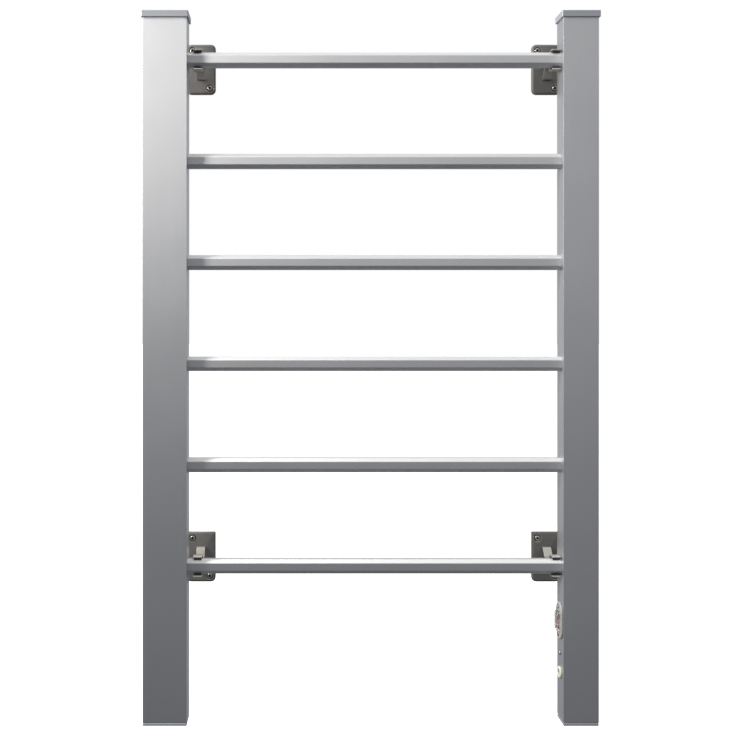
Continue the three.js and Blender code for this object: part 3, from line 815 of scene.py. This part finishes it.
def makeGland():
    flange, body, bore, rise = gland["flange"], gland["body"], gland["bore"], gland["rise"]
    profile = [
        (body - 0.4, -gland["length"]), (body, 0.4 - gland["length"]), (body, gap), (flange - 0.2, gap),
        (flange, 0.5), (flange, 1.5), (flange - 0.35, 2.1), (flange - 0.9, 2.45), (flange - 1.6, rise),
        (bore + 0.9, rise), (bore + 0.3, rise - 0.25), (bore, rise - 0.7), (bore, -gland["length"]),
    ]
    rings = [atHeight(circleLoop(r, 48), z) for r, z in profile]
    piece = meshObject("cableGland", loft(rings, closed=True), onPost("cable_gland"))
    tools = []
    for k in range(notches["count"]):
        angle = 2 * math.pi * (k + 0.5) / notches["count"]
        spot = (flange * notches["ring"] * math.cos(angle), flange * notches["ring"] * math.sin(angle))
        notch = slab(circleLoop(notches["radius"], 12), notches["from"], 5)
        tools.append(meshObject("notch", shifted(notch, *spot), onPost("cable_gland")))
    cutAway(piece, tools)
    soften(piece, 0, angle=35)
    addPiece(piece, "cable_gland", materials["glandPlastic"])


makeBezel()
makeBoot()
makeRocker()
makeGland()
panelScrews = (
    ("bezelScrewUpper", "bezel_screw_1", onBezel),
    ("bezelScrewLower", "bezel_screw_2", onBezel),
    ("terminalScrew", "terminal_screw", gap),
)
for name, node, out in panelScrews:
    makeScrew(name, node, onPost(node, out), panelScrew)
print("switch and gland made")

# Pieces whose modelled shape stays get a finish of their own.
innerFinishes = {
    "heating_rod": "elementSteel", "rail_carrier": "elementSteel", "wiring_harness": "cableJacket",
    "terminal_block": "bezelPlastic", "thermal_cutout": "switchBlack", "switch_body": "switchBlack",
    "gland_nut": "glandPlastic",
}
for node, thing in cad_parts.items():
    for start, finish in innerFinishes.items():
        if node.startswith(start):
            for place in thing.material_slots:
                place.material = materials[finish]
print("inner pieces finished")


# Studio: a white floor well below the rack, a bright ceiling, a soft key from the left.
# Distances are in metres.
studio = {
    "floorDrop": 0.14, "floorSize": 40, "ceiling": 0.85, "level": 0.37, "low": 0.13, "back": 0.5,
    "backLow": 0.25, "lowTint": (0.94, 0.965, 1.0), "highTint": (1.0, 0.985, 0.95),
}
floorLook = {
    "Base Color": (0.9, 0.9, 0.9, 1), "Roughness": 0.9,
    "Emission Color": (1, 1, 1, 1), "Emission Strength": 1.0,
}
# where each change in the sky starts and ends along a line of sight that is one long
skyBands = {
    "front": (-0.5, 0.3), "back": (-0.5, 0.1), "behind": (-0.4, 0.6),
    "ceiling": (0.35, 0.9), "tint": (0.3, 0.8),
}
keyLamp = {
    "side": -0.954, "front": 0.298, "rise": 0.3, "width": 0.14, "height": 0.8, "power": 24.8,
    "tint": (1.0, 0.965, 0.92),
}


def makeFloor():
    low = cadBox[0]
    spot = (0, 0, low.z - studio["floorDrop"])
    bpy.ops.mesh.primitive_plane_add(size=studio["floorSize"], location=spot)
    floor = bpy.context.object
    floor.name = "floor"
    material = bpy.data.materials.new("whiteFloor")
    material.use_nodes = True
    shader = material.node_tree.nodes["Principled BSDF"]
    for socket, value in floorLook.items():
        shader.inputs[socket].default_value = value
    floor.data.materials.append(material)
    floor.visible_glossy = False
    floor.visible_diffuse = False
    floor.visible_shadow = False


def makeWorld():
    world = bpy.data.worlds.new("studio")
    bpy.context.scene.world = world
    world.use_nodes = True
    tree = world.node_tree
    tree.nodes.clear()
    look = addNode(tree, "ShaderNodeTexCoord").outputs["Generated"]
    parts = addNode(tree, "ShaderNodeSeparateXYZ", inputs={0: look}).outputs

    def ramp(band, low, high, axis=2):
        start, end = skyBands[band]
        inputs = {"Value": parts[axis], "From Min": start, "From Max": end, "To Min": low, "To Max": high}
        return addNode(tree, "ShaderNodeMapRange", {"interpolation_type": "SMOOTHSTEP"}, inputs).outputs[0]

    front = ramp("front", studio["low"], studio["level"])
    back = ramp("back", studio["backLow"], studio["back"])
    behind = ramp("behind", 0, 1, axis=1)
    front = maths(tree, "MULTIPLY", front, maths(tree, "SUBTRACT", 1, behind))
    around = maths(tree, "ADD", front, maths(tree, "MULTIPLY", back, behind))
    light = maths(tree, "ADD", around, ramp("ceiling", 0, studio["ceiling"]))
    seen = addNode(tree, "ShaderNodeLightPath").outputs["Is Camera Ray"]
    tint = mixColour(tree, ramp("tint", 0, 1), studio["lowTint"], studio["highTint"])
    lit = addNode(tree, "ShaderNodeBackground", inputs={"Color": tint, "Strength": light})
    plain = addNode(tree, "ShaderNodeBackground", inputs={"Color": (1, 1, 1, 1), "Strength": 1.0})
    both = addNode(tree, "ShaderNodeMixShader", inputs={0: seen, 1: lit.outputs[0], 2: plain.outputs[0]})
    addNode(tree, "ShaderNodeOutputWorld", inputs={"Surface": both.outputs[0]})


def makeKeyLamp():
    # aimed at the top rail's left end, so that it fades down the posts and along the rails
    low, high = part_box("rail_1")
    corner = Vector((low.x, low.y, middleOf(low, high).z))
    lamp = bpy.data.objects.new("keyLamp", bpy.data.lights.new("keyLamp", "AREA"))
    bpy.context.scene.collection.objects.link(lamp)
    lamp.location = corner + Vector((keyLamp["side"], -keyLamp["front"], keyLamp["rise"]))
    lamp.rotation_euler = (corner - lamp.location).to_track_quat("-Z", "Y").to_euler()
    lamp.data.shape = "RECTANGLE"
    lamp.data.size, lamp.data.size_y = keyLamp["width"], keyLamp["height"]
    lamp.data.energy = keyLamp["power"]
    lamp.data.color = keyLamp["tint"]
    lamp.visible_camera = False


makeFloor()
makeWorld()
makeKeyLamp()
bpy.context.scene.view_settings.view_transform = "Standard"
print("studio made")
